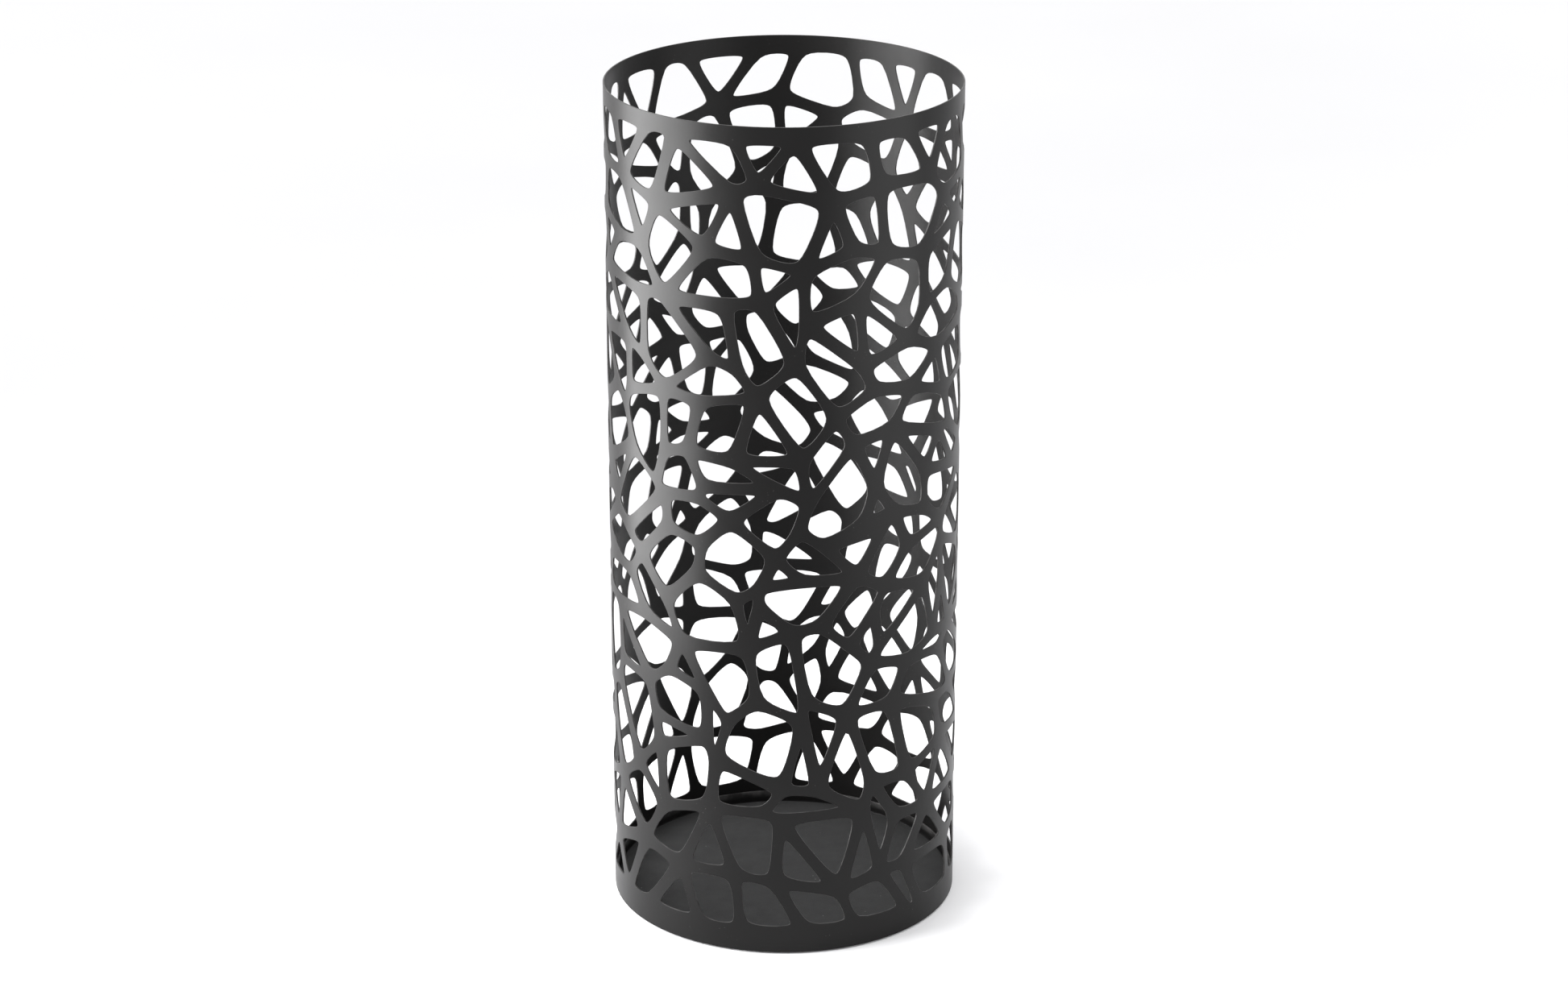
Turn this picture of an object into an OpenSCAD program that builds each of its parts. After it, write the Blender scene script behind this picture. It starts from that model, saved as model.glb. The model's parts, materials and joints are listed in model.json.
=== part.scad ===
/* [Shell] */
// Outside diameter of the rolled shell
shell_d = 205; // [190:1:225]
// Height of the shell
shell_h = 499; // [460:1:540]
// Thickness of the sheet steel of the shell and the pan
sheet_t = 1; // [0.8:0.1:1.5]
// Height of the plain band along the top edge
top_band_h = 10; // [8:1:20]
// Height of the plain band along the bottom edge
bottom_band_h = 16; // [14:1:30]

/* [Web] */
// Web joints in each row round the shell
web_columns = 21; // [19:1:23]
// Rows of triangles between the lowest joints and the highest
web_rows = 18; // [16:1:20]
// Least width of a strand of the web
strand_w = 5; // [4.2:0.1:7]
// How much wider than that a strand can be, as a share of the least width
strand_swell = 0.65; // [0:0.05:1]
// How far the joints stray from an even lattice, as a share of their spacing
web_scatter = 0.38; // [0.2:0.01:0.4]
// How much taller the rows are at the ends of the shell than halfway up
web_taper = 0.3; // [0:0.05:0.4]
// Longest cell of the web, measured from joint to joint
cell_reach = 63; // [54:1:68]
// Share of each side of a hole that rounds off into each of its two corners
hole_softness = 0.42; // [0.25:0.01:0.48]
// Number that picks the random layout of the web
web_seed = 2; // [1:1:99]

/* [Base pan] */
// Gap between the lower edge of the shell and the underside of the pan
pan_recess = 1.2; // [1:0.1:4]
// Height of the upturned flange of the pan
flange_h = 9; // [7:0.5:12]
// Outside radius of the bend between the pan's floor and its flange
pan_bend_r = 2.5; // [2:0.5:4]

/* [Mat] */
// Thickness of the loose mat
mat_t = 1.5; // [1:0.5:3]
// Gap between the mat and the flange all round
mat_gap = 1.2; // [0.6:0.2:3]

/* [Feet] */
// Diameter of each anti-slip foot
foot_d = 16; // [10:1:20]
// How far the feet stand proud of the lower edge of the shell
foot_proud = 1; // [0.6:0.1:2]
// Radius of the circle that the feet sit on
foot_circle_r = 82; // [65:1:88]
// Bevel round the lower edge of each foot
foot_bevel = 0.6; // [0.2:0.1:0.8]

/* [Welds] */
// Number of tack welds under the pan
weld_count = 6; // [4:1:8]
// Length of each tack weld, measured round the shell
weld_l = 12; // [6:1:20]
// Width of each tack weld, measured in from the shell
weld_w = 1.4; // [1:0.1:1.8]

/* [Hidden] */
fn_round = 180;
fn_small = 48;
// The shell is rolled in narrow flats, whose corners lie on the outside diameter
shell_facets = 72;
shell_r = shell_d / 2;
// Radius of the widest circle that fits inside the shell
bore_r = shell_r * cos(180 / shell_facets) - sheet_t;
shell_z = foot_proud;
pan_z = shell_z + pan_recess;
flange_r = bore_r - sheet_t;
mat_r = flange_r - mat_gap;
// The mat lies on the coating's grain, a little above the bare floor of the pan
mat_lie = 0.1;
mat_z = pan_z + sheet_t + mat_lie;
foot_count = 4;
foot_angle = 45;
// How far a tack weld reaches up the pan's bend, as a share of the bend's radius
weld_reach = 0.6;
weld_rise = weld_reach * pan_bend_r;
// The web lies between two levels that leave the plain bands whole
web_z0 = shell_z + bottom_band_h - strand_w / 2;
web_z1 = shell_z + shell_h - top_band_h + strand_w / 2;
web_h = web_z1 - web_z0;
web_girth = PI * shell_d;
joint_pitch = web_girth / web_columns;
row_pitch = web_h / web_rows;
// Each chance, if it comes up, makes a cell want one more triangle
appetite_chances = [1, 0.9, 0.65, 0.45];
// Rows at the top and the bottom whose cells want two more triangles
low_end_rows = 2;
high_end_rows = 1;
end_appetite = 2;
// What counts when a cell picks a strand to give up, beside the strand's length
arms_weight = 0.33;
whim_weight = 0.8;
// Strands that meet at a joint: the fewest that are left, and the number before any is given up
least_arms = 3;
inner_arms = 6;
band_arms = 4;
// Share of a triangle's turn to choose that is left to luck
turn_luck = 0.6;
// Random numbers for each triangle, and the step between the seeds of two webs
luck_count = 16;
seed_step = 10000;
// Least turn at a corner of a cell, as the sine of its angle, so that every cell is convex
least_turn = 0.04;
// A hole with a smaller mean half width is left as solid web
least_hole_r = 2.2;
least_side = 1.5;
// How much less a sharp corner of a hole is rounded than a blunt one
sharp_corner_keep = 0.6;
cutter_margin = 0.8;
triangle_count = 2 * web_columns * web_rows;

// A fixed stray for each joint: along the girth, then up the shell
stray = rands(-web_scatter, web_scatter, 2 * web_columns * (web_rows + 1), web_seed);

// Joints are [column, row]. Each row starts half a pitch on from the row below, and columns wrap round.
function wrapped(column) = (column % web_columns + web_columns) % web_columns;

function joint_id(j) = j[1] * web_columns + wrapped(j[0]);

function on_band(row) = row == 0 || row == web_rows;

function row_level(row) =
    let (u = row / web_rows)
    web_z0 + web_h * (u + web_taper * sin(360 * u) / (2 * PI));

// Where a joint lies on the unrolled sheet: [distance round the girth, height]
function joint_at(j) =
    let (
        k = 2 * joint_id(j),
        rise = on_band(j[1]) ? 0 : stray[k + 1] * row_pitch
    )
    [(j[0] + j[1] / 2 + stray[k]) * joint_pitch, row_level(j[1]) + rise];

function outline(cell) = [for (j = cell) joint_at(j)];

function cross_2d(a, b) = a.x * b.y - a.y * b.x;

function next(list, i) = list[(i + 1) % len(list)];

function total(list, i = 0) = i < len(list) ? list[i] + total(list, i + 1) : 0;

function sides(points) = [for (i = [0 : len(points) - 1]) next(points, i) - points[i]];

function perimeter(points) = total([for (side = sides(points)) norm(side)]);

function area(points) =
    total([for (i = [0 : len(points) - 1]) cross_2d(points[i], next(points, i))]) / 2;

// Twice the area over the perimeter, which is the radius of a circle that touches every side
function mean_radius(points) = 2 * area(points) / perimeter(points);

function reach(points) = max([for (a = points, b = points) norm(a - b)]);

// The sine of the angle through which the outline turns at each corner
function turns(points) =
    let (s = sides(points))
    [for (i = [0 : len(s) - 1]) cross_2d(s[i], next(s, i)) / (norm(s[i]) * norm(next(s, i)))];

function convex(points) = min(turns(points)) > least_turn;

// Sorts a list of [key, value] pairs by key
function sorted(pairs) =
    len(pairs) < 2 ? pairs :
    let (pivot = pairs[floor(len(pairs) / 2)][0])
    concat(
        sorted([for (p = pairs) if (p[0] < pivot) p]),
        [for (p = pairs) if (p[0] == pivot) p],
        sorted([for (p = pairs) if (p[0] > pivot) p])
    );

// The joints of triangle t of the lattice: an even t points up and an odd t points down
function triangle(t) =
    let (
        square = floor(t / 2),
        c = square % web_columns,
        r = floor(square / web_columns)
    )
    t % 2 == 0 ? [[c, r], [c + 1, r], [c, r + 1]] : [[c + 1, r], [c + 1, r + 1], [c, r + 1]];

// The number of the triangle that three joints make
function triangle_id(a, b, c) =
    let (
        low = min(a[1], b[1], c[1]),
        base = [for (j = [a, b, c]) if (j[1] == low) j[0]],
        points_down = len(base) == 1 ? 1 : 0
    )
    2 * joint_id([min(base) - points_down, low]) + points_down;

// The joint that makes a triangle with a and b, on the right of the line from a to b
function across(a, b) = let (d = b - a) a + [d[0] + d[1], -d[0]];

// Fixed random numbers for triangle t
function luck(t) = rands(0, 1, luck_count, web_seed * seed_step + t);

function with_taken(taken, t) = [for (i = [0 : len(taken) - 1]) taken[i] || i == t];

function with_fewer_arms(arms, a, b) =
    [for (i = [0 : len(arms) - 1]) arms[i] - (i == a || i == b ? 1 : 0)];

function with_inserted(list, i, item) =
    [for (k = [0 : len(list) - 1]) each k == i ? [list[k], item] : [list[k]]];

// Every way a cell can take in one more free triangle: [score, cell, triangle, joint, joint]
function growths(cell, taken, arms, whims) =
    [for (i = [0 : len(cell) - 1])
        let (
            a = cell[i],
            b = next(cell, i),
            tip = across(a, b),
            arms_a = arms[joint_id(a)],
            arms_b = arms[joint_id(b)]
        )
        if (tip[1] >= 0 && tip[1] <= web_rows && min(arms_a, arms_b) > least_arms)
            let (
                t = triangle_id(a, b, tip),
                wider = with_inserted(cell, i, tip),
                points = outline(wider),
                length_share = norm(joint_at(b) - joint_at(a)) / joint_pitch
            )
            if (!taken[t] && convex(points) && reach(points) <= cell_reach)
                [
                    length_share + arms_weight * (arms_a + arms_b) + whim_weight * whims[i],
                    wider, t, joint_id(a), joint_id(b)
                ]
    ];

function best(list) =
    let (top = max([for (g = list) g[0]]))
    [for (g = list) if (g[0] == top) g][0];

// Lets a cell take in up to count triangles, and returns [cell, taken, arms]
function fed(cell, taken, arms, count, whims) =
    let (options = count > 0 ? growths(cell, taken, arms, whims) : [])
    len(options) == 0 ? [cell, taken, arms] :
    let (
        g = best(options),
        new_taken = with_taken(taken, g[2]),
        new_arms = with_fewer_arms(arms, g[3], g[4]),
        new_whims = [for (i = [0 : len(whims) - 1]) next(whims, i)]
    )
    fed(g[1], new_taken, new_arms, count - 1, new_whims);

function appetite(t, chances) =
    let (
        row = floor(t / (2 * web_columns)),
        at_end = row < low_end_rows || row >= web_rows - high_end_rows
    )
    len([for (i = [0 : len(appetite_chances) - 1]) if (chances[i] < appetite_chances[i]) i])
    + (at_end ? end_appetite : 0);

function grown_from(t, taken, arms) =
    let (chances = luck(t))
    fed(triangle(t), with_taken(taken, t), arms, appetite(t, chances), chances);

// The slimmest triangles choose first, so that few are left too slim to hold a hole
function turn(t) =
    let (chance = luck(t)[len(appetite_chances)] - 0.5)
    mean_radius(outline(triangle(t))) * (1 + turn_luck * chance);

function turn_order() = [for (p = sorted([for (t = [0 : triangle_count - 1]) [turn(t), t]])) p[1]];

// The outlines of the cells that the web's strands enclose, on the unrolled sheet
function web_cells() =
    let (order = turn_order())
    [for (
        i = 0,
        cell = [],
        taken = [for (t = order) false],
        arms = [for (r = [0 : web_rows], c = [1 : web_columns]) on_band(r) ? band_arms : inner_arms];
        i <= triangle_count;
        t = order[i],
        step = i < triangle_count && !taken[t] ? grown_from(t, taken, arms) : [[], taken, arms],
        cell = step[0],
        taken = step[1],
        arms = step[2],
        i = i + 1
    ) if (len(cell) > 0) outline(cell)];

// The part of a convex outline that lies to the left of the line through p along d
function clipped(points, p, d) =
    len(points) == 0 ? [] :
    [for (i = [0 : len(points) - 1])
        let (
            a = points[i],
            b = next(points, i),
            over_a = cross_2d(d, a - p),
            over_b = cross_2d(d, b - p),
            crosses = (over_a >= 0) != (over_b >= 0)
        )
        each concat(
            over_a >= 0 ? [a] : [],
            crosses ? [a + (b - a) * over_a / (over_a - over_b)] : []
        )
    ];

// A convex outline with its sides moved inwards, each by its own width
function inset(points, widths, i = 0, shape = undef) =
    let (now = is_undef(shape) ? points : shape)
    i == len(points) ? now :
    let (
        d = next(points, i) - points[i],
        inward = [-d.y, d.x] / norm(d)
    )
    inset(points, widths, i + 1, clipped(now, points[i] + widths[i] * inward, d));

function without_short_sides(points) =
    [for (i = [0 : len(points) - 1]) if (norm(next(points, i) - points[i]) > least_side) points[i]];

// Cuts every corner with a flat that touches the middle of its rounding. A sharp corner loses least.
function softened(points) =
    [for (i = [0 : len(points) - 1])
        let (
            corner = next(points, i),
            back = points[i] - corner,
            on = next(points, i + 1) - corner,
            sharpness = (1 + back * on / (norm(back) * norm(on))) / 2,
            share = hole_softness / 2 * (1 - sharp_corner_keep * sharpness)
        )
        each [corner + back * share, corner + on * share]
    ];

// Half the width of the strand along each of count sides
function half_strands(count, seed) =
    [for (swell = rands(0, strand_swell, count, seed)) strand_w / 2 * (1 + swell)];

function holes() =
    let (cells = web_cells())
    [for (i = [0 : len(cells) - 1])
        let (inner = inset(cells[i], half_strands(len(cells[i]), web_seed * seed_step - i - 1)))
        if (len(inner) > 2 && mean_radius(inner) > least_hole_r)
            softened(without_short_sides(inner))
    ];

function girth_angle(s) = s / shell_r * 180 / PI;

// Cuts one hole straight through the sheet, along the radius through the middle of the hole
module hole_cutter(points) {
    left = min([for (p = points) p.x]);
    right = max([for (p = points) p.x]);
    mid = (left + right) / 2;
    sag = shell_r * (1 - cos(girth_angle(right - mid)));
    depth = sheet_t + sag + 2 * cutter_margin;
    rotate([0, 0, girth_angle(mid)])
        translate([shell_r + cutter_margin - depth, 0, 0])
            rotate([90, 0, 90])
                linear_extrude(depth)
                    polygon([for (p = points) [shell_r * sin(girth_angle(p.x - mid)), p.y]]);
}

// A regular polygon round a circle of radius r, with a corner on each half axis
module facets_round(r) {
    corner_r = r / cos(180 / shell_facets);
    angles = [for (i = [0 : shell_facets - 1]) 360 * i / shell_facets];
    polygon([for (a = angles) corner_r * [cos(a), sin(a)]]);
}

module shell() {
    color("#2b2a2a")
        difference() {
            translate([0, 0, shell_z])
                linear_extrude(shell_h)
                    difference() {
                        facets_round(bore_r + sheet_t);
                        facets_round(bore_r);
                    }
            for (points = holes())
                hole_cutter(points);
        }
}

// The pan's section: a floor, an upright flange and a bend between them
module pan_section() {
    bend_centre = [bore_r - pan_bend_r, pan_z + pan_bend_r];
    translate([0, pan_z])
        square([bore_r - pan_bend_r, sheet_t]);
    translate([flange_r, pan_z + pan_bend_r])
        square([sheet_t, flange_h - pan_bend_r]);
    intersection() {
        translate(bend_centre)
            difference() {
                circle(pan_bend_r, $fn = fn_small);
                circle(pan_bend_r - sheet_t, $fn = fn_small);
            }
        translate([bend_centre.x, pan_z])
            square(pan_bend_r);
    }
}

module base_pan() {
    color("#242323")
        rotate_extrude($fn = fn_round)
            pan_section();
}

module mat() {
    color("#444444")
        translate([0, 0, mat_z])
            cylinder(r = mat_r, h = mat_t, $fn = fn_round);
}

// A bead that fills the notch between the outside of the pan's bend and the shell
module weld_section() {
    difference() {
        translate([bore_r - weld_w, pan_z])
            square([weld_w, weld_rise]);
        translate([bore_r - pan_bend_r, pan_z + pan_bend_r])
            circle(pan_bend_r, $fn = fn_small);
    }
}

module tack_welds() {
    color("#5a5650")
        for (i = [0 : weld_count - 1])
            rotate([0, 0, 360 * i / weld_count])
                rotate_extrude(angle = weld_l / bore_r * 180 / PI, $fn = fn_round)
                    weld_section();
}

module foot(i) {
    color("#1c1c1c")
        rotate([0, 0, foot_angle + 360 * i / foot_count])
            translate([foot_circle_r, 0, 0]) {
                cylinder(d1 = foot_d - 2 * foot_bevel, d2 = foot_d, h = foot_bevel, $fn = fn_small);
                translate([0, 0, foot_bevel])
                    cylinder(d = foot_d, h = pan_z - foot_bevel, $fn = fn_small);
            }
}

shell();
base_pan();
mat();
tack_welds();
foot(0);  // foot_1
foot(1);  // foot_2
foot(2);  // foot_3
foot(3);  // foot_4
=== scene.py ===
"""The looks of the umbrella stand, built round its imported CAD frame.

Metres, +Z up, the mouth at the top.
"""

import json
import math

import bpy
import numpy as np
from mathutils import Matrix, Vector, kdtree, noise
from mathutils.geometry import delaunay_2d_cdt

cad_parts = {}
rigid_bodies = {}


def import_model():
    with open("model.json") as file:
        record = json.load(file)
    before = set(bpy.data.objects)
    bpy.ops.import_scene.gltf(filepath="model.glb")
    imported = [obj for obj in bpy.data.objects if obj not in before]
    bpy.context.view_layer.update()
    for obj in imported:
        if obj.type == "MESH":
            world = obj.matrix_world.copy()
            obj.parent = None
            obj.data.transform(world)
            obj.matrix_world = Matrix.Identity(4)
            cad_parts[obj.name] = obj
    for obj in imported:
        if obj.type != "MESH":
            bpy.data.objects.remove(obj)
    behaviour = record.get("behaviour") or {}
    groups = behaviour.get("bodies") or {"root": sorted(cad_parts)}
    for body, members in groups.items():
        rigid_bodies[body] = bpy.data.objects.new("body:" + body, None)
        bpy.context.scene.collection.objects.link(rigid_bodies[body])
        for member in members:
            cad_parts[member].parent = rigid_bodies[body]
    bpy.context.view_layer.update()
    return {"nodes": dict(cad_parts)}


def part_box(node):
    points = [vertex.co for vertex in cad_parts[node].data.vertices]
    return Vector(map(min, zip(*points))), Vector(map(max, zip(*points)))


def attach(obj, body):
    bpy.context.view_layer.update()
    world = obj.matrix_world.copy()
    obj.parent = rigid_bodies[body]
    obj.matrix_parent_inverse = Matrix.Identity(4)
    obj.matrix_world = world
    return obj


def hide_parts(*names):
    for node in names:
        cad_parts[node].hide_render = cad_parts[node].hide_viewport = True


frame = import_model()

MM = 0.001
SHEET = 1.0 * MM  # thickness of the steel sheet
ROUNDING = 0.22 * MM  # how far the coating rounds off every cut edge
KEEP_IN = 0.02 * MM  # how far each piece stays inside its CAD box
WELD = 1e-7  # vertices of the CAD mesh that are closer than this are one
SLIVER = 1e-12  # twice the area of a triangle that is too thin to have a normal
TINY = 1e-12  # keeps a division clear of nought
FACES_OUT = 0.9  # least cosine between a normal and the radius for a face of the tube's outside
STRAIGHT = 0.006 * MM  # a corner that stands less than this off a straight line is dropped

SEAM_ANGLE = math.pi / 2  # the shell's mesh starts and ends at the back
CURVE_STEP = 11  # degrees that a hole's outline turns through from point to point
CURVE_POINTS = (2, 5)  # fewest and most points at one corner of a hole
RIM_STEPS = 240  # points round each rim
LOW_ROWS = [d * MM for d in (0, 3.2, 6.4, 9.6)]  # rows of points above the lower rim
HIGH_ROWS = [d * MM for d in (0, 3.0, 6.0)]  # rows of points below the upper rim
SEAM_STEP = 4 * MM  # distance between points where the two ends of the sheet meet
LATTICE_PITCH = 4.2  # mm between the loose points inside the web
LATTICE_ROW = 0.866  # height of a row of them, as a share of the pitch
LATTICE_CLEAR = 0.45  # how far they stay from any outline, as a share of the pitch
MERGE = 1e-4  # mm, points closer than this become one in the triangulation

SHARP = 40  # degrees, an angle between two faces that stays a sharp edge
ON_AXIS = 1e-9  # a smaller radius than this is a point on the axis
PAN_STEPS, MAT_STEPS, FOOT_STEPS = 240, 300, 64  # points round each lathed piece

PAN_BEND = 2.5 * MM  # outside radius of the bend between the pan's floor and its flange
PAN_LIP = 0.35 * MM  # rounding of the flange's upper edge
PAN_RINGS = (0.03, 0.07, 0.1)  # radii of the rings of vertices across the pan's floor
MAT_IN, MAT_DOWN = 0.05 * MM, 0.06 * MM  # how far the mat stays inside its CAD box
BEADS = 6  # tack welds under the pan
BEAD_LENGTH = 12 * MM
BEAD_STEPS = 64  # steps along a bead
BEAD_POINTS = 12  # points across its underside
BEAD_HEIGHTS = (0.9, 0.6, 0.3)  # points back down the notch, as shares of the bead's rise
BEAD_WIDTH, BEAD_RISE, BEAD_SWELL = 1.22, 1.25, 0.12  # mm, a swell is what a ripple adds
BEAD_SAG, BEAD_TILT = 0.16, 0.12  # mm, how far its underside sags between ripples and rises inwards
BEAD_END = 0.07  # thickness at its ends, as a share of the middle
BEAD_SINK = 0.02 * MM  # how far it reaches past the bend
BEAD_SHARP = 50  # degrees
RIPPLES = 11
FEET = 4

FLOOR_STEPS = 96
FLOOR_RINGS = (0.15, 0.35, 0.8, 1.6, 3.2, 6.0, 9.0, 12.0)  # radii
SENSOR, LENS = 36, 91.9  # mm
EYE, LOOK_AT = (0.0, -2.2, 1.08), (0.0, 0.0, 0.2496)


# ---------------------------------------------------------------- mesh helpers


def add_mesh(name, vertices, faces, normals=None):
    """A smooth mesh object of the given faces, with one normal a vertex where normals are given."""
    mesh = bpy.data.meshes.new(name)
    mesh.from_pydata([tuple(v) for v in vertices], [], faces)
    mesh.validate()
    mesh.update()
    mesh.polygons.foreach_set("use_smooth", [True] * len(mesh.polygons))
    if normals is not None:
        mesh.normals_split_custom_set_from_vertices([tuple(n) for n in normals])
    piece = bpy.data.objects.new(name, mesh)
    bpy.context.scene.collection.objects.link(piece)
    return piece


def store(piece, name, values):
    """Keeps one number a vertex on the mesh, for its material."""
    layer = piece.data.attributes.new(name, "FLOAT", "POINT")
    layer.data.foreach_set("value", np.asarray(values, np.float32))


def stand_for(piece, node, body, material):
    """The piece takes the place of a CAD node, rides on its body and gets its material."""
    piece.data.materials.clear()
    piece.data.materials.append(material)
    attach(piece, body)
    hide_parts(node)


# ---------------------------------------------------------------- the perforated shell


def welded_mesh(node):
    """A node's vertices, with those that coincide made one, and its triangles."""
    mesh = node.data
    co = np.empty(len(mesh.vertices) * 3, np.float32)
    mesh.vertices.foreach_get("co", co)
    co = co.reshape(-1, 3).astype(float)
    mesh.calc_loop_triangles()
    tri = np.empty(len(mesh.loop_triangles) * 3, np.int32)
    mesh.loop_triangles.foreach_get("vertices", tri)
    keys, welded = np.unique(np.round(co / WELD).astype(np.int64), axis=0, return_inverse=True)
    return keys * WELD, welded.ravel()[tri].reshape(-1, 3)


def outer_face(co, tri, radius):
    """The triangles of a tube's outer face.

    Slivers in it have no normal, but they close its outlines.
    """
    a, b, c = (co[tri[:, k]] for k in range(3))
    normal = np.cross(b - a, c - a)
    length = np.linalg.norm(normal, axis=1)
    middle = (a + b + c) / 3
    radial = np.hypot(middle[:, 0], middle[:, 1])
    along_radius = normal[:, 0] * middle[:, 0] + normal[:, 1] * middle[:, 1]
    outward = along_radius / np.maximum(length * radial, TINY)
    outside = np.hypot(co[:, 0], co[:, 1]) > radius - SHEET / 2
    return tri[outside[tri].all(axis=1) & ((outward > FACES_OUT) | (length < SLIVER))]


def hole_loops(node, radius):
    """The outlines of the holes in a tube's outer face.

    Each is (middle angle, [(offset along the tangent there, height)]), anticlockwise from outside.
    """
    co, tri = welded_mesh(node)
    directed = set()
    for t in outer_face(co, tri, radius).tolist():
        directed.update(((t[0], t[1]), (t[1], t[2]), (t[2], t[0])))
    following = {i: j for i, j in sorted(directed) if (j, i) not in directed}
    loops = []
    while following:
        chain, here = [], min(following)
        while here in following:
            chain.append(here)
            here = following.pop(here)
        points = co[chain]
        angle = np.unwrap(np.arctan2(points[:, 1], points[:, 0]))
        if np.ptp(angle) > math.pi:
            continue  # a rim, which goes all the way round
        mid = (angle.min() + angle.max()) / 2
        across = points[:, 1] * math.cos(mid) - points[:, 0] * math.sin(mid)
        outline = np.column_stack([across, points[:, 2]])[::-1]
        loops.append((mid, straightened(outline)))
    return loops


def straightened(points):
    """The closed outline without the points that lie on a straight side."""
    points = [np.array(p) for p in points]
    k = 0
    while k < len(points) and len(points) > 3:
        before, here, after = points[k - 1], points[k], points[(k + 1) % len(points)]
        side, step = after - before, here - before
        off = abs(side[0] * step[1] - side[1] * step[0]) / max(np.hypot(*side), TINY)
        if off < STRAIGHT:
            points.pop(k)
            k = max(k - 1, 0)
        else:
            k += 1
    return np.array(points)


def rounded(corners):
    """A smooth closed outline that touches the middle of every side of the polygon."""
    made = []
    for k, here in enumerate(corners):
        before, after = corners[k - 1], corners[(k + 1) % len(corners)]
        start, end = (before + here) / 2, (here + after) / 2
        u, v = here - before, after - here
        turn = math.degrees(abs(math.atan2(u[0] * v[1] - u[1] * v[0], u @ v)))
        count = int(np.clip(round(turn / CURVE_STEP), *CURVE_POINTS))
        for t in np.arange(count) / count:
            made.append((1 - t) ** 2 * start + 2 * t * (1 - t) * here + t * t * end)
    return np.array(made)


def outward_2d(points):
    """The unit normal at each point of a closed anticlockwise outline, away from its inside."""
    along = np.roll(points, -1, axis=0) - np.roll(points, 1, axis=0)
    along /= np.maximum(np.hypot(along[:, 0], along[:, 1]), TINY)[:, None]
    return np.column_stack([along[:, 1], -along[:, 0]])


class Sheet:
    """The unrolled shell: numbered points, edges and holes for the triangulation, which is in mm.

    A point on the seam lies at both ends of the sheet, under one number.
    """

    def __init__(self, girth):
        self.girth = girth
        self.flat, self.ids, self.edges, self.holes = [], [], [], []
        self.index_of = {}
        self.count = 0

    def numbers(self, amount):
        """The next so many numbers, for new points."""
        self.count += amount
        return list(range(self.count - amount, self.count))

    def place(self, point, number, shift=0.0):
        self.flat.append(Vector(((point[0] + shift) / MM, point[1] / MM)))
        self.ids.append(number)
        self.index_of[number, shift] = len(self.flat) - 1
        return len(self.flat) - 1

    def join(self, placed):
        self.edges += list(zip(placed[:-1], placed[1:]))


def with_seam_points(edge, face, girth):
    """Two matching outlines, with a point added to both wherever the second crosses the seam."""
    rows = []
    for k in range(len(edge)):
        n = (k + 1) % len(edge)
        rows.append((edge[k], face[k]))
        if face[k][0] * face[n][0] < 0 and abs(face[k][0] - face[n][0]) < girth / 2:
            t = face[k][0] / (face[k][0] - face[n][0])
            point = face[k] + t * (face[n] - face[k])
            rows.append((edge[k] + t * (edge[n] - edge[k]), np.array([0.0, point[1]])))
    return np.array([r[0] for r in rows]), np.array([r[1] for r in rows])


def unrolled_holes(node, cad_radius, radius, girth):
    """Each hole, unrolled to (girth, height): its outline, and where the flat face begins."""
    cuts = []
    for mid, corners in hole_loops(node, cad_radius):
        turn = (mid - SEAM_ANGLE) % (2 * math.pi)
        along = radius * (turn + np.arcsin(corners[:, 0] / cad_radius))
        edge = rounded(np.column_stack([along, corners[:, 1]]))
        if edge[:, 0].max() + ROUNDING > girth:
            edge[:, 0] -= girth
        cuts.append(with_seam_points(edge, edge + ROUNDING * outward_2d(edge), girth))
    return cuts


def place_holes(sheet, cuts):
    """Returns each hole's outline with its points' numbers, and the marks: points on the seam."""
    rings, marks = [], []
    for hole, (edge, face) in enumerate(cuts):
        numbers = sheet.numbers(len(face))
        rings.append((edge, numbers))
        for shift in (0.0, sheet.girth) if face[:, 0].min() <= 0 else (0.0,):
            sheet.holes.append([sheet.place(p, n, shift) for p, n in zip(face, numbers)])
        marks += [(p[1], n, hole) for p, n in zip(face, numbers) if p[0] == 0.0]
    return rings, marks


def place_bands(sheet, bottom, top):
    """Rows of points in the plain bands. Returns the lowest row, the highest row and the marks."""
    low = [bottom + ROUNDING + d for d in LOW_ROWS]
    high = [top - ROUNDING - d for d in HIGH_ROWS]
    rows, marks = {}, []
    for level in low + high:
        row = rows[level] = sheet.numbers(RIM_STEPS)
        placed = [sheet.place((sheet.girth * k / RIM_STEPS, level), n) for k, n in enumerate(row)]
        placed.append(sheet.place((0.0, level), row[0], sheet.girth))
        marks.append((level, row[0], None))
        if level in (low[0], high[0]):
            sheet.join(placed)
    return rows[low[0]], rows[high[0]], marks


def place_seam(sheet, marks):
    """Gives both ends of the sheet the same points, joined by edges where the seam is solid."""
    marks = sorted(marks, key=lambda mark: mark[0])
    for (low_z, low_n, low_hole), (high_z, high_n, high_hole) in zip(marks[:-1], marks[1:]):
        if low_hole is not None and low_hole == high_hole:
            continue
        parts = max(1, round((high_z - low_z) / SEAM_STEP))
        inner = sheet.numbers(parts - 1)
        heights = np.linspace(low_z, high_z, parts + 1)[1:-1]
        for shift in (0.0, sheet.girth):
            placed = [sheet.place((0.0, z), n, shift) for z, n in zip(heights, inner)]
            sheet.join([sheet.index_of[low_n, shift]] + placed + [sheet.index_of[high_n, shift]])


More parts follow.
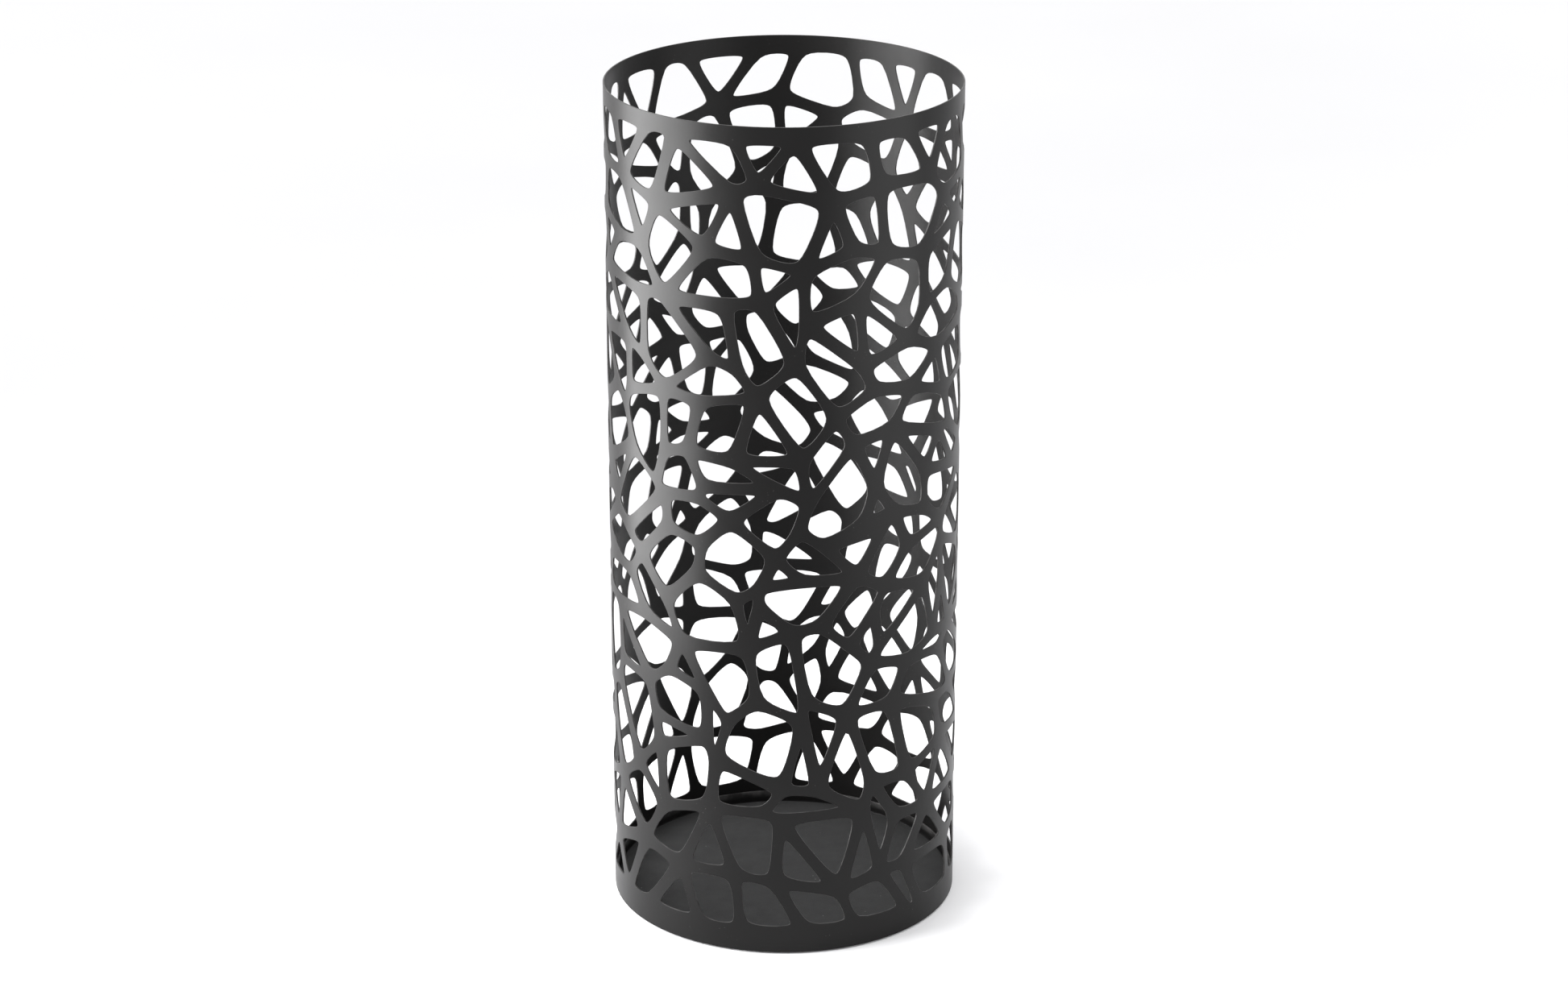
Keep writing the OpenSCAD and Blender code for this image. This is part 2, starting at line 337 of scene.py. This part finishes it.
def place_lattice(sheet, bottom, top):
    """A loose lattice of points in the wide joints of the web, clear of every outline."""
    tree = kdtree.KDTree(len(sheet.flat))
    for i, v in enumerate(sheet.flat):
        tree.insert((v.x, v.y, 0), i)
    tree.balance()
    pitch, width = LATTICE_PITCH, sheet.girth / MM
    for r in range(1, int((top - bottom) / MM / (pitch * LATTICE_ROW))):
        y = bottom / MM + r * pitch * LATTICE_ROW
        for c in range(int(width / pitch)):
            x = (c + 0.5 + 0.5 * (r % 2)) * pitch
            if pitch < x < width - pitch and tree.find((x, y, 0))[2] > LATTICE_CLEAR * pitch:
                sheet.place((x * MM, y * MM), sheet.numbers(1)[0])


def triangulated(sheet):
    """The sheet's triangles, as numbers of points, and where each number lies."""
    out, _, out_faces, origin, _, in_hole = delaunay_2d_cdt(
        sheet.flat, sheet.edges, sheet.holes, 0, MERGE)
    place_of = {}
    for v, n in zip(sheet.flat, sheet.ids):
        place_of.setdefault(n, (v.x * MM, v.y * MM))
    number_of = {}
    for k, v in enumerate(out):
        if origin[k]:
            number_of[k] = sheet.ids[origin[k][0]]
        else:
            number_of[k] = sheet.numbers(1)[0]
            place_of[number_of[k]] = (v.x * MM, v.y * MM)
    triangles = []
    for face, holes in zip(out_faces, in_hole):
        middle = sum(out[i].x for i in face) / len(face)
        if holes or not 0 < middle < sheet.girth / MM:
            continue
        triangle = [number_of[i] for i in face]
        if len(set(triangle)) == 3:
            triangles.append(triangle)
    return triangles, place_of


class Roll:
    """The sheet rolled up into a tube with two faces, and strips of faces along its cut edges."""

    def __init__(self, surface, triangles, radius, inner):
        self.radius, self.inner = radius, inner
        self.total = len(surface)
        self.size = 2 * self.total
        out = self.outward(surface)
        self.vertices = [self.rolled(surface, radius), self.rolled(surface, inner)]
        self.normals = [out, -out]
        # vertices of the cut edges and rims get 1, which paints a highlight into the coat's colour
        self.edge_highlight_marks = [np.zeros(self.size)]
        self.faces = list(triangles)
        self.faces += [[self.total + n for n in reversed(t)] for t in triangles]

    def angle(self, points):
        return SEAM_ANGLE + points[:, 0] / self.radius

    def rolled(self, points, r):
        angle = self.angle(points)
        return np.column_stack([r * np.cos(angle), r * np.sin(angle), points[:, 1]])

    def outward(self, points):
        angle = self.angle(points)
        return np.column_stack([np.cos(angle), np.sin(angle), np.zeros(len(points))])

    def in_plane(self, points, directions):
        """Directions on the sheet, turned with the roll."""
        angle, along = self.angle(points), directions[:, 0]
        return np.column_stack([-along * np.sin(angle), along * np.cos(angle), directions[:, 1]])

    def strip(self, front, points, facing):
        """Three bands of faces from a ring on the outer face to the same ring on the inner one."""
        m = len(points)
        self.vertices.append(self.rolled(points, self.radius - ROUNDING))
        self.vertices.append(self.rolled(points, self.inner + ROUNDING))
        self.normals += [self.in_plane(points, facing)] * 2
        self.edge_highlight_marks.append(np.ones(2 * m))
        outer = list(range(self.size, self.size + m))
        inner = list(range(self.size + m, self.size + 2 * m))
        layers = [front, outer, inner, [self.total + f for f in front]]
        for a, b in zip(layers[:-1], layers[1:]):
            for k in range(m):
                n = (k + 1) % m
                self.faces.append([a[k], a[n], b[n], b[k]])
        self.size += 2 * m


def build_shell():
    """The perforated tube: truly round, with the CAD shell's holes and softly rounded cut edges."""
    node = frame["nodes"]["shell"]
    low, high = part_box("shell")
    radius = high.x - KEEP_IN
    bottom, top = low.z + KEEP_IN, high.z - KEEP_IN
    sheet = Sheet(2 * math.pi * radius)

    rings, marks = place_holes(sheet, unrolled_holes(node, high.x, radius, sheet.girth))
    low_row, high_row, band_marks = place_bands(sheet, bottom, top)
    place_seam(sheet, marks + band_marks)
    place_lattice(sheet, bottom, top)
    triangles, place_of = triangulated(sheet)

    used = sorted({n for t in triangles for n in t} | {n for _, numbers in rings for n in numbers})
    compact = {n: k for k, n in enumerate(used)}
    surface = np.array([place_of[n] for n in used])
    triangles = [[compact[n] for n in t] for t in triangles]

    roll = Roll(surface, triangles, radius, radius - SHEET + KEEP_IN)
    for edge, numbers in rings:
        roll.strip([compact[n] for n in numbers], edge, -outward_2d(edge))
    girth_points = np.array([sheet.girth * k / RIM_STEPS for k in range(RIM_STEPS)])
    for row, z, up in ((high_row, top, 1), (low_row, bottom, -1)):
        order = list(range(RIM_STEPS))[::up]
        points = np.column_stack([girth_points[order], np.full(RIM_STEPS, z)])
        facing = np.tile([0.0, float(up)], (RIM_STEPS, 1))
        roll.strip([compact[row[k]] for k in order], points, facing)

    piece = add_mesh("shell_web", np.vstack(roll.vertices), roll.faces, np.vstack(roll.normals))
    # the edge mark gives the cut edges a painted highlight in the coat
    store(piece, "edge", np.concatenate(roll.edge_highlight_marks))
    return piece


# ---------------------------------------------------------------- lathe work


def arc(centre, r, start, end, steps):
    """Points of an arc in the (radius, height) plane, angles in degrees."""
    angles = np.radians(np.linspace(start, end, steps + 1))
    return [(centre[0] + r * math.cos(a), centre[1] + r * math.sin(a)) for a in angles]


def lathe(name, profile, steps, middle=(0.0, 0.0)):
    """Turns an outline from axis to axis, anticlockwise in the (radius, height) plane."""
    vertices, faces, rings = [], [], []
    for r, z in profile:
        if r < ON_AXIS:
            rings.append([len(vertices)])
            vertices.append((middle[0], middle[1], z))
        else:
            rings.append(list(range(len(vertices), len(vertices) + steps)))
            for k in range(steps):
                a = 2 * math.pi * k / steps
                vertices.append((middle[0] + r * math.cos(a), middle[1] + r * math.sin(a), z))
    for a, b in zip(rings[:-1], rings[1:]):
        for k in range(steps):
            n = (k + 1) % steps
            corners = [a[k % len(a)], a[n % len(a)], b[n % len(b)], b[k % len(b)]]
            face = [c for i, c in enumerate(corners) if c != corners[i - 1]]
            if len(face) > 2:
                faces.append(face)
    piece = add_mesh(name, vertices, faces)
    piece.data.set_sharp_from_angle(angle=math.radians(SHARP))
    return piece


def build_pan():
    """A pressed disc with an upright flange, whose upper edge is marked for a painted highlight."""
    low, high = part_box("base_pan")
    r = high.x - KEEP_IN
    under, over = low.z + KEEP_IN, low.z + SHEET
    rim = high.z - KEEP_IN
    half_way = (under + rim) / 2
    profile = [(0, under)] + [(ring, under) for ring in PAN_RINGS]
    profile += arc((r - PAN_BEND, under + PAN_BEND), PAN_BEND, -90, 0, 10)
    profile += [(r, half_way)]
    profile += arc((r - PAN_LIP, rim - PAN_LIP), PAN_LIP, 0, 90, 4)
    profile += arc((r - SHEET + PAN_LIP, rim - PAN_LIP), PAN_LIP, 90, 180, 4)
    profile += [(r - SHEET, half_way)]
    profile += arc((r - PAN_BEND, over + PAN_BEND - SHEET), PAN_BEND - SHEET, 0, -90, 8)
    profile += [(ring, over) for ring in reversed(PAN_RINGS)] + [(0, over)]
    piece = lathe("base_pan_pressed", profile, PAN_STEPS)
    # the flange's lip is marked for a painted highlight in the coat
    store(piece, "edge", [1.0 if v.co.z > rim - PAN_LIP else 0.0 for v in piece.data.vertices])
    return piece


def build_mat():
    """A thin disc that lies a little unevenly, with a hand-cut edge that wanders in and out."""
    low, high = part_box("mat")
    r_out = high.x - MAT_IN
    under, over = low.z + KEEP_IN, high.z - MAT_DOWN
    soft = 0.4 * MM  # rounding of the edge
    rings = (0.985, 0.96, 0.93, 0.88, 0.8, 0.7, 0.58, 0.44, 0.3, 0.15)  # across its top, as shares
    edge_wander = 0.5 * MM
    top_wander = 0.10 * MM
    profile = [(0, under)] + [(f * r_out, under) for f in (0.2, 0.45, 0.7, 0.9)]
    profile += arc((r_out - soft, under + soft), soft, -90, 0, 3)
    profile += arc((r_out - soft, over - soft), soft, 0, 90, 4)
    profile += [(f * r_out, over) for f in rings]
    profile += [(0, over)]
    piece = lathe("mat_disc", profile, MAT_STEPS)
    for v in piece.data.vertices:
        r, a = math.hypot(v.co.x, v.co.y), math.atan2(v.co.y, v.co.x)
        out = Vector((math.cos(a), math.sin(a), 0))
        share = (r / r_out) ** 4
        wander = 0.5 + 0.5 * noise.noise(out * 5.0)
        wander += 0.35 * noise.noise(out * 19.0 + Vector((3, 1, 7)))
        v.co -= out * (edge_wander * share * min(max(wander, 0.0), 1.2))
        if v.co.z > (under + over) / 2:
            spot = Vector((v.co.x, v.co.y, 0))
            rise = noise.noise(spot * 28.0) + 0.5 * noise.noise(spot * 75.0)
            v.co.z -= top_wander * min(max(0.5 + rise, 0.0), 1.0)
    return piece


def build_foot(number):
    """A round rubber pad with a soft lower edge."""
    low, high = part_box(f"foot_{number}")
    middle = ((low.x + high.x) / 2, (low.y + high.y) / 2)
    r = (high.x - low.x) / 2 - KEEP_IN
    z0, z1 = low.z + KEEP_IN, high.z - KEEP_IN
    flat_in, soft_in, soft, wall_up = 0.9 * MM, 0.7 * MM, 0.5 * MM, 0.75 * MM  # the lower edge
    bevel_down, bevel_in = 0.15 * MM, 0.1 * MM  # the upper edge
    profile = [(0, z0), (r * 0.5, z0), (r - flat_in, z0)]
    profile += arc((r - soft_in, z0 + soft), soft, -90, -25, 4)
    profile += [(r, z0 + wall_up), (r, z1 - bevel_down), (r - bevel_in, z1)]
    profile += [(r * 0.5, z1), (0, z1)]
    return lathe(f"foot_{number}_pad", profile, FOOT_STEPS, middle)


def build_welds():
    """Beads under the bend of the pan, each laid in overlapping ripples."""
    low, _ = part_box("tack_welds")
    _, pan_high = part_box("base_pan")
    r_out = pan_high.x - KEEP_IN
    base = low.z + KEEP_IN
    half = BEAD_LENGTH / 2 / pan_high.x  # half the angle that a bead takes up
    vertices, faces = [], []
    ring = BEAD_POINTS + len(BEAD_HEIGHTS)
    for bead in range(BEADS):
        start = 2 * math.pi * bead / BEADS
        first = len(vertices)
        for i in range(BEAD_STEPS + 1):
            t = i / BEAD_STEPS
            taper = math.sqrt(max(1 - (2 * t - 1) ** 6, 0.0)) * (1 - BEAD_END) + BEAD_END
            stray = 0.8 * noise.noise(Vector((bead, t * 9, 0)))
            ripple = 0.5 + 0.5 * math.sin(t * 2 * math.pi * RIPPLES + stray)
            width = (BEAD_WIDTH + BEAD_SWELL * ripple) * MM * taper
            rise = (BEAD_RISE + BEAD_SWELL * ripple) * MM * taper
            angle = start + 2 * half * t
            for j in range(BEAD_POINTS):
                s = j / (BEAD_POINTS - 1)  # from the pan's underside out to the shell
                x = r_out - width * (1 - s)
                sag = BEAD_SAG * MM * (1 - ripple) * math.sin(math.pi * s)
                z = base + sag + BEAD_TILT * MM * (1 - s)
                vertices.append((x * math.cos(angle), x * math.sin(angle), z))
            for s in BEAD_HEIGHTS:
                z = base + rise * s
                depth = PAN_BEND - math.sqrt(max(PAN_BEND ** 2 - (PAN_BEND - (z - base)) ** 2, 0.0))
                x = max(r_out - depth + BEAD_SINK, r_out - width)
                vertices.append((x * math.cos(angle), x * math.sin(angle), z))
        for i in range(BEAD_STEPS):
            a, b = first + i * ring, first + (i + 1) * ring
            for j in range(ring):
                k = (j + 1) % ring
                faces.append([a + j, b + j, b + k, a + k])
        last = first + BEAD_STEPS * ring
        faces.append([first + j for j in range(ring)])
        faces.append([last + j for j in range(ring - 1, -1, -1)])
    piece = add_mesh("tack_weld_beads", vertices, faces)
    piece.data.set_sharp_from_angle(angle=math.radians(BEAD_SHARP))
    return piece


# ---------------------------------------------------------------- materials


class Graph:
    """A material's nodes, made in a few words."""

    def __init__(self, name):
        self.material = bpy.data.materials.new(name)
        self.material.use_nodes = True
        self.tree = self.material.node_tree
        self.tree.nodes.clear()
        self.shader = self.node("ShaderNodeBsdfPrincipled")
        output = self.node("ShaderNodeOutputMaterial")
        self.join(self.shader.outputs["BSDF"], output.inputs["Surface"])
        self.place = self.node("ShaderNodeTexCoord").outputs["Object"]

    def node(self, kind, **settings):
        made = self.tree.nodes.new(kind)
        for key, value in settings.items():
            setattr(made, key, value)
        return made

    def join(self, a, b):
        self.tree.links.new(a, b)

    def noise(self, scale, detail=3.0, roughness=0.5, squash=None):
        made = self.node("ShaderNodeTexNoise", noise_dimensions="3D")
        made.inputs["Scale"].default_value = scale
        made.inputs["Detail"].default_value = detail
        made.inputs["Roughness"].default_value = roughness
        place = self.place
        if squash:
            mapping = self.node("ShaderNodeMapping")
            mapping.inputs["Scale"].default_value = squash
            self.join(self.place, mapping.inputs["Vector"])
            place = mapping.outputs["Vector"]
        self.join(place, made.inputs["Vector"])
        return made.outputs["Fac"]

    def specks(self, scale, size):
        """1 inside small scattered grains, 0 elsewhere."""
        made = self.node("ShaderNodeTexVoronoi", voronoi_dimensions="3D")
        made.inputs["Scale"].default_value = scale
        self.join(self.place, made.inputs["Vector"])
        return self.ramp(made.outputs["Distance"], [(size * 0.6, 1.0), (size, 0.0)])

    def attribute(self, name):
        return self.node("ShaderNodeAttribute", attribute_name=name).outputs["Fac"]

    def ramp(self, value, stops):
        made = self.node("ShaderNodeValToRGB")
        elements = made.color_ramp.elements
        while len(elements) < len(stops):
            elements.new(0.5)
        for element, (at, colour) in zip(elements, stops):
            element.position = at
            rgb = colour if isinstance(colour, tuple) else (colour,) * 3
            element.color = (*rgb, 1.0)
        self.join(value, made.inputs["Fac"])
        return made.outputs["Color"]

    def math(self, operation, a, b):
        made = self.node("ShaderNodeMath", operation=operation)
        for socket, value in zip(made.inputs, (a, b)):
            if isinstance(value, (int, float)):
                socket.default_value = value
            else:
                self.join(value, socket)
        return made.outputs["Value"]

    def mix(self, share, a, b):
        made = self.node("ShaderNodeMix", data_type="RGBA")
        for key, kind, value in (("Factor", "VALUE", share), ("A", "RGBA", a), ("B", "RGBA", b)):
            socket = [s for s in made.inputs if s.name == key and s.type == kind][0]
            if isinstance(value, tuple):
                socket.default_value = (*value, 1.0)
            else:
                self.join(value, socket)
        return [s for s in made.outputs if s.type == "RGBA"][0]

    def bump(self, height, distance, strength, after=None):
        made = self.node("ShaderNodeBump")
        made.inputs["Strength"].default_value = strength
        made.inputs["Distance"].default_value = distance
        self.join(height, made.inputs["Height"])
        if after is not None:
            self.join(after, made.inputs["Normal"])
        return made.outputs["Normal"]

    def set(self, **values):
        for key, value in values.items():
            socket = self.shader.inputs[key.replace("_", " ")]
            if isinstance(value, (int, float)):
                socket.default_value = value
            else:
                self.join(value, socket)
        return self.material


def powder_coat(name):
    """Satin black powder coat: a fine orange peel, patches of different gloss, and a little dust.

    Where the mesh's edge attribute is 1, the colour turns paler in patches: a painted highlight on
    the cut edges.
    """
    g = Graph(name)
    dark, light = (0.0042, 0.0040, 0.0040), (0.0064, 0.0061, 0.0060)
    tone = g.ramp(g.noise(9.0, 4.0), [(0.3, dark), (0.7, light)])
    dust = g.specks(420.0, 0.11)
    thin = g.ramp(g.noise(60.0, 2.0), [(0.58, 0.0), (0.66, 1.0)])
    dust = g.math("MULTIPLY", dust, thin)
    colour = g.mix(g.math("MULTIPLY", dust, 0.35), tone, (0.16, 0.155, 0.15))
    rough = g.ramp(g.noise(26.0, 5.0, 0.6), [(0.3, 0.31), (0.7, 0.40)])
    # painted highlight: a paler colour, in patches, where the edge attribute marks cut edges and
    # the pan's lip
    edge_highlight = g.attribute("edge")
    patchy_highlight = g.math("MULTIPLY", edge_highlight, g.ramp(g.noise(140.0, 3.0), [(0.35, 0.25), (0.65, 1.0)]))
    colour = g.mix(g.math("MULTIPLY", patchy_highlight, 0.75), colour, (0.075, 0.073, 0.072))
    peel = g.bump(g.noise(620.0, 2.0, 0.45), 0.00006, 0.35)
    grain = g.bump(g.noise(2600.0, 2.0, 0.5), 0.00002, 0.30, peel)
    return g.set(Base_Color=colour, Roughness=rough, Normal=grain, Specular_IOR_Level=0.15)


def mat_surface(name):
    """Matte dark grey rubber with a fine moulded grain, a few light specks and faint scuffs."""
    g = Graph(name)
    dark, light = (0.021, 0.021, 0.0213), (0.027, 0.027, 0.0273)
    tone = g.ramp(g.noise(38.0, 5.0, 0.6), [(0.3, dark), (0.7, light)])
    fine = g.noise(1900.0, 3.0, 0.6)
    grained = g.mix(g.ramp(fine, [(0.42, 0.0), (0.6, 0.5)]), tone, (0.036, 0.036, 0.0363))
    specks = g.specks(230.0, 0.09)
    specks = g.math("MULTIPLY", specks, g.ramp(g.noise(47.0, 1.0), [(0.6, 0.0), (0.65, 1.0)]))
    colour = g.mix(g.math("MULTIPLY", specks, 0.6), grained, (0.3, 0.3, 0.3))
    rough = g.ramp(g.noise(90.0, 4.0), [(0.3, 0.78), (0.7, 0.92)])
    pits = g.bump(fine, 0.00012, 0.6)
    waves = g.bump(g.noise(22.0, 3.0, 0.5, (1.0, 0.35, 1.0)), 0.0012, 0.12, pits)
    return g.set(Base_Color=colour, Roughness=rough, Normal=waves, Specular_IOR_Level=0.25)


def weld_metal(name):
    """Weld beads under the same black coat, with a mottled tone, patches of different gloss and a
    fine scaly bump.
    """
    g = Graph(name)
    dark, light = (0.016, 0.0155, 0.015), (0.03, 0.029, 0.028)
    tone = g.ramp(g.noise(300.0, 3.0), [(0.35, dark), (0.7, light)])
    rough = g.ramp(g.noise(700.0, 3.0), [(0.3, 0.34), (0.7, 0.52)])
    scale = g.bump(g.noise(1300.0, 4.0, 0.6), 0.00006, 0.6)
    return g.set(Base_Color=tone, Roughness=rough, Normal=scale, Specular_IOR_Level=0.45)


def foot_rubber(name):
    """Matte black rubber with a fine moulded texture and pale scuffs."""
    g = Graph(name)
    dark, light = (0.011, 0.011, 0.011), (0.021, 0.021, 0.0205)
    tone = g.ramp(g.noise(160.0, 4.0, 0.6), [(0.35, dark), (0.75, light)])
    scuffs = g.ramp(g.noise(90.0, 6.0, 0.7, (1.0, 0.15, 1.0)), [(0.62, 0.0), (0.72, 0.4)])
    colour = g.mix(scuffs, tone, (0.055, 0.054, 0.052))
    rough = g.ramp(g.noise(240.0, 3.0), [(0.3, 0.62), (0.7, 0.82)])
    texture = g.bump(g.noise(1500.0, 2.0), 0.00008, 0.5)
    return g.set(Base_Color=colour, Roughness=rough, Normal=texture, Specular_IOR_Level=0.4)


# ---------------------------------------------------------------- the pieces

coat = powder_coat("powder_coat_shell")
pan_coat = powder_coat("powder_coat_pan")
stand_for(build_shell(), "shell", "stand", coat)
stand_for(build_pan(), "base_pan", "stand", pan_coat)
stand_for(build_mat(), "mat", "mat", mat_surface("mat_surface"))
stand_for(build_welds(), "tack_welds", "stand", weld_metal("weld_metal"))
rubber = foot_rubber("foot_rubber")
for number in range(1, FEET + 1):
    stand_for(build_foot(number), f"foot_{number}", "stand", rubber)


# ---------------------------------------------------------------- camera, floor and light


def aim(thing, target):
    """Turns a camera or a light to face a point."""
    thing.rotation_mode = "QUATERNION"
    thing.rotation_quaternion = (Vector(target) - thing.location).to_track_quat("-Z", "Y")


def add_camera():
    """The photograph's viewing angle, with no shift and no depth of field."""
    data = bpy.data.cameras.new("camera")
    data.sensor_width = SENSOR
    data.lens = LENS
    camera = bpy.data.objects.new("camera", data)
    bpy.context.scene.collection.objects.link(camera)
    camera.location = EYE
    aim(camera, LOOK_AT)
    bpy.context.scene.camera = camera


def add_floor():
    """A wide flat pale disc, faintly mottled."""
    vertices, faces = [(0.0, 0.0, 0.0)], []
    for r in FLOOR_RINGS:
        for k in range(FLOOR_STEPS):
            a = 2 * math.pi * k / FLOOR_STEPS
            vertices.append((r * math.cos(a), r * math.sin(a), 0.0))
    for k in range(FLOOR_STEPS):
        n = (k + 1) % FLOOR_STEPS
        faces.append([0, 1 + k, 1 + n])
        for ring in range(len(FLOOR_RINGS) - 1):
            a, b = 1 + ring * FLOOR_STEPS, 1 + (ring + 1) * FLOOR_STEPS
            faces.append([a + k, b + k, b + n, a + n])
    floor = add_mesh("floor", vertices, faces)
    g = Graph("floor_paper")
    tone = g.ramp(g.noise(1.5, 3.0), [(0.3, (0.83, 0.83, 0.84)), (0.7, (0.86, 0.86, 0.87))])
    fibres = g.bump(g.noise(400.0), 0.0001, 0.1)
    floor.data.materials.append(g.set(Base_Color=tone, Roughness=0.9, Normal=fibres))


def add_light(name, place, target, width, height, power, spread):
    """An upright softbox that the camera does not see. A narrow spread spills less on the rest."""
    data = bpy.data.lights.new(name, "AREA")
    data.spread = math.radians(spread)
    data.shape = "RECTANGLE"
    data.size, data.size_y = width, height
    data.energy = power
    light = bpy.data.objects.new(name, data)
    bpy.context.scene.collection.objects.link(light)
    light.location = place
    aim(light, target)
    light.visible_camera = False


def add_sun(strength):
    """A very soft light from above and behind, which keeps the floor even."""
    data = bpy.data.lights.new("sky_glow", "SUN")
    data.energy = strength
    data.angle = math.radians(120)
    light = bpy.data.objects.new("sky_glow", data)
    bpy.context.scene.collection.objects.link(light)
    light.location = (0, 1.0, 3.0)
    aim(light, (0, 0, 0))


def add_world():
    """An even pale studio, as bright as the floor near the horizon and dimmer overhead."""
    world = bpy.data.worlds.new("studio")
    world.use_nodes = True
    nodes, links = world.node_tree.nodes, world.node_tree.links
    height = nodes.new("ShaderNodeSeparateXYZ")
    links.new(nodes.new("ShaderNodeTexCoord").outputs["Generated"], height.inputs["Vector"])
    ramp = nodes.new("ShaderNodeValToRGB")
    horizon, overhead = (0.12, 0.98), (0.55, 0.60)  # (height of the direction, brightness)
    for element, (at, grey) in zip(ramp.color_ramp.elements, (horizon, overhead)):
        element.position = at
        element.color = (grey * 0.995, grey * 0.995, grey, 1.0)
    links.new(height.outputs["Z"], ramp.inputs["Fac"])
    links.new(ramp.outputs["Color"], nodes["Background"].inputs["Color"])
    bpy.context.scene.world = world


add_camera()
add_floor()
add_world()
add_light("softbox_left", place=(-0.52, -0.10, 0.60), target=(-0.06, -0.08, 0.60),
          width=0.60, height=1.18, power=15.5, spread=115)
add_light("softbox_right", place=(0.70, -0.40, 0.60), target=(0.06, -0.06, 0.60),
          width=0.8, height=1.18, power=3, spread=110)
add_sun(1.7)
bpy.context.scene.view_settings.view_transform = "Standard"
